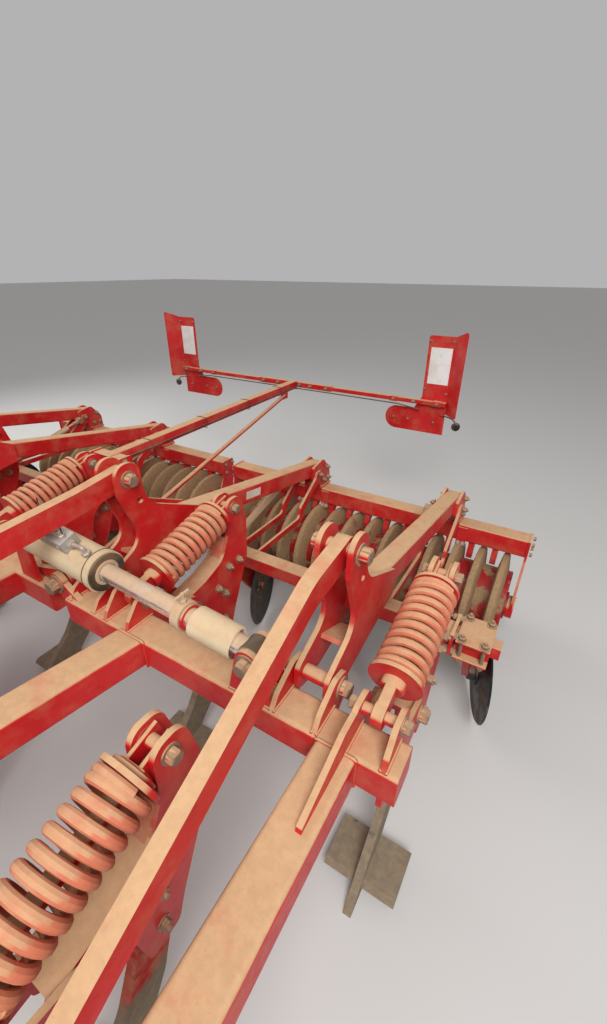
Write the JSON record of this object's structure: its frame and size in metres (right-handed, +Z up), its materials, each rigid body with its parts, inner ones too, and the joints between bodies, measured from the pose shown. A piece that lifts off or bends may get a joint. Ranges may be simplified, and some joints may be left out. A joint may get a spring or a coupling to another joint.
{
  "type": "folding subsoiler with packer roller",
  "caption": "Folding three-point subsoiler: sprung legs in two rows on a square-tube frame, levelling discs, ring packer rollers on curved arms and a rear light board.",
  "frame": {"origin": "on the ground at the middle of the machine's outline", "axes": "+X to the machine's right, +Y to its rear, +Z up"},
  "size_m": [4.0078, 3.739, 1.5389],
  "materials": {
    "red_paint": "dusty satin",
    "spring_paint": "dusty satin",
    "leg_steel": "worn, soil stained",
    "roller_steel": "soil coated",
    "disc_steel": "worn black",
    "cream_paint": "dusty satin",
    "rod_steel": "dusty"
  },
  "bodies": {
    "centre": {"centre_frame": "red_paint", "headstock": "red_paint", "centre_levers": "red_paint", "centre_legs": "leg_steel", "centre_spring_mounts": "red_paint", "centre_springs": "spring_paint", "light_arm": "red_paint", "light_bar": "red_paint", "light_board_left": "red_paint", "light_board_right": "red_paint"},
    "wing_right": {"wing_frame_right": "red_paint", "wing_levers_right": "red_paint", "wing_legs_right": "leg_steel", "wing_spring_mounts_right": "red_paint", "wing_springs_right": "spring_paint", "roller_arms_right": "red_paint", "top_links_right": "red_paint", "roller_frame_right": "red_paint", "disc_frame_right": "red_paint"},
    "roller_right": {"roller_right": "roller_steel"},
    "barrel_right": {"cylinder_barrel_right": "cream_paint"},
    "rod_right": {"cylinder_rod_right": "rod_steel"},
    "disc_1_right": {"disc_1_right": "disc_steel"},
    "disc_2_right": {"disc_2_right": "disc_steel"},
    "disc_3_right": {"disc_3_right": "disc_steel"},
    "wing_left": {"wing_frame_left": "red_paint", "wing_levers_left": "red_paint", "wing_legs_left": "leg_steel", "wing_spring_mounts_left": "red_paint", "wing_springs_left": "spring_paint", "roller_arms_left": "red_paint", "top_links_left": "red_paint", "roller_frame_left": "red_paint", "disc_frame_left": "red_paint"},
    "roller_left": {"roller_left": "roller_steel"},
    "barrel_left": {"cylinder_barrel_left": "cream_paint"},
    "rod_left": {"cylinder_rod_left": "rod_steel"},
    "disc_1_left": {"disc_1_left": "disc_steel"},
    "disc_2_left": {"disc_2_left": "disc_steel"},
    "disc_3_left": {"disc_3_left": "disc_steel"}
  },
  "joints": [
    {"name": "fold_right", "type": "hinge", "parent": "centre", "child": "wing_right", "pos_m": [0.565, -0.6195, 0.905], "axis": [0, -1, 0], "range_deg": [0, 90]},
    {"name": "barrel_turn_right", "type": "hinge", "parent": "centre", "child": "barrel_right", "pos_m": [0.405, -0.6195, 1.06], "axis": [0, -1, 0], "range_deg": [0, 88]},
    {"name": "rod_slide_right", "type": "slide", "parent": "barrel_right", "child": "rod_right", "axis": [0.998, 0, -0.0639], "range_m": [-0.3141, 0]},
    {"name": "roller_spin_right", "type": "hinge", "parent": "wing_right", "child": "roller_right", "pos_m": [1, 0.8905, 0.28], "axis": [1, 0, 0], "continuous": true},
    {"name": "disc_spin_1_right", "type": "hinge", "parent": "wing_right", "child": "disc_1_right", "pos_m": [0.69, 0.3805, 0.248], "axis": [0.9511, 0.309, 0], "continuous": true},
    {"name": "disc_spin_2_right", "type": "hinge", "parent": "wing_right", "child": "disc_2_right", "pos_m": [1.29, 0.3805, 0.248], "axis": [0.9511, 0.309, 0], "continuous": true},
    {"name": "disc_spin_3_right", "type": "hinge", "parent": "wing_right", "child": "disc_3_right", "pos_m": [1.93, 0.3805, 0.248], "axis": [0.9511, 0.309, 0], "continuous": true},
    {"name": "fold_left", "type": "hinge", "parent": "centre", "child": "wing_left", "pos_m": [-0.565, -0.6195, 0.905], "axis": [0, 1, 0], "range_deg": [0, 90]},
    {"name": "barrel_turn_left", "type": "hinge", "parent": "centre", "child": "barrel_left", "pos_m": [-0.405, -0.6195, 1.06], "axis": [0, 1, 0], "range_deg": [0, 88]},
    {"name": "rod_slide_left", "type": "slide", "parent": "barrel_left", "child": "rod_left", "axis": [-0.998, 0, -0.0639], "range_m": [-0.3141, 0]},
    {"name": "roller_spin_left", "type": "hinge", "parent": "wing_left", "child": "roller_left", "pos_m": [-1, 0.8905, 0.28], "axis": [1, 0, 0], "continuous": true},
    {"name": "disc_spin_1_left", "type": "hinge", "parent": "wing_left", "child": "disc_1_left", "pos_m": [-0.69, 0.3805, 0.248], "axis": [-0.9511, 0.309, 0], "continuous": true},
    {"name": "disc_spin_2_left", "type": "hinge", "parent": "wing_left", "child": "disc_2_left", "pos_m": [-1.29, 0.3805, 0.248], "axis": [-0.9511, 0.309, 0], "continuous": true},
    {"name": "disc_spin_3_left", "type": "hinge", "parent": "wing_left", "child": "disc_3_left", "pos_m": [-1.93, 0.3805, 0.248], "axis": [-0.9511, 0.309, 0], "continuous": true}
  ],
  "couplings": [
    {"joint": "barrel_turn_right", "follows": "fold_right", "ratio": 0.97726},
    {"joint": "rod_slide_right", "follows": "fold_right", "m_per_rad": -0.19964},
    {"joint": "barrel_turn_left", "follows": "fold_left", "ratio": 0.97726},
    {"joint": "rod_slide_left", "follows": "fold_left", "m_per_rad": -0.19964}
  ]
}
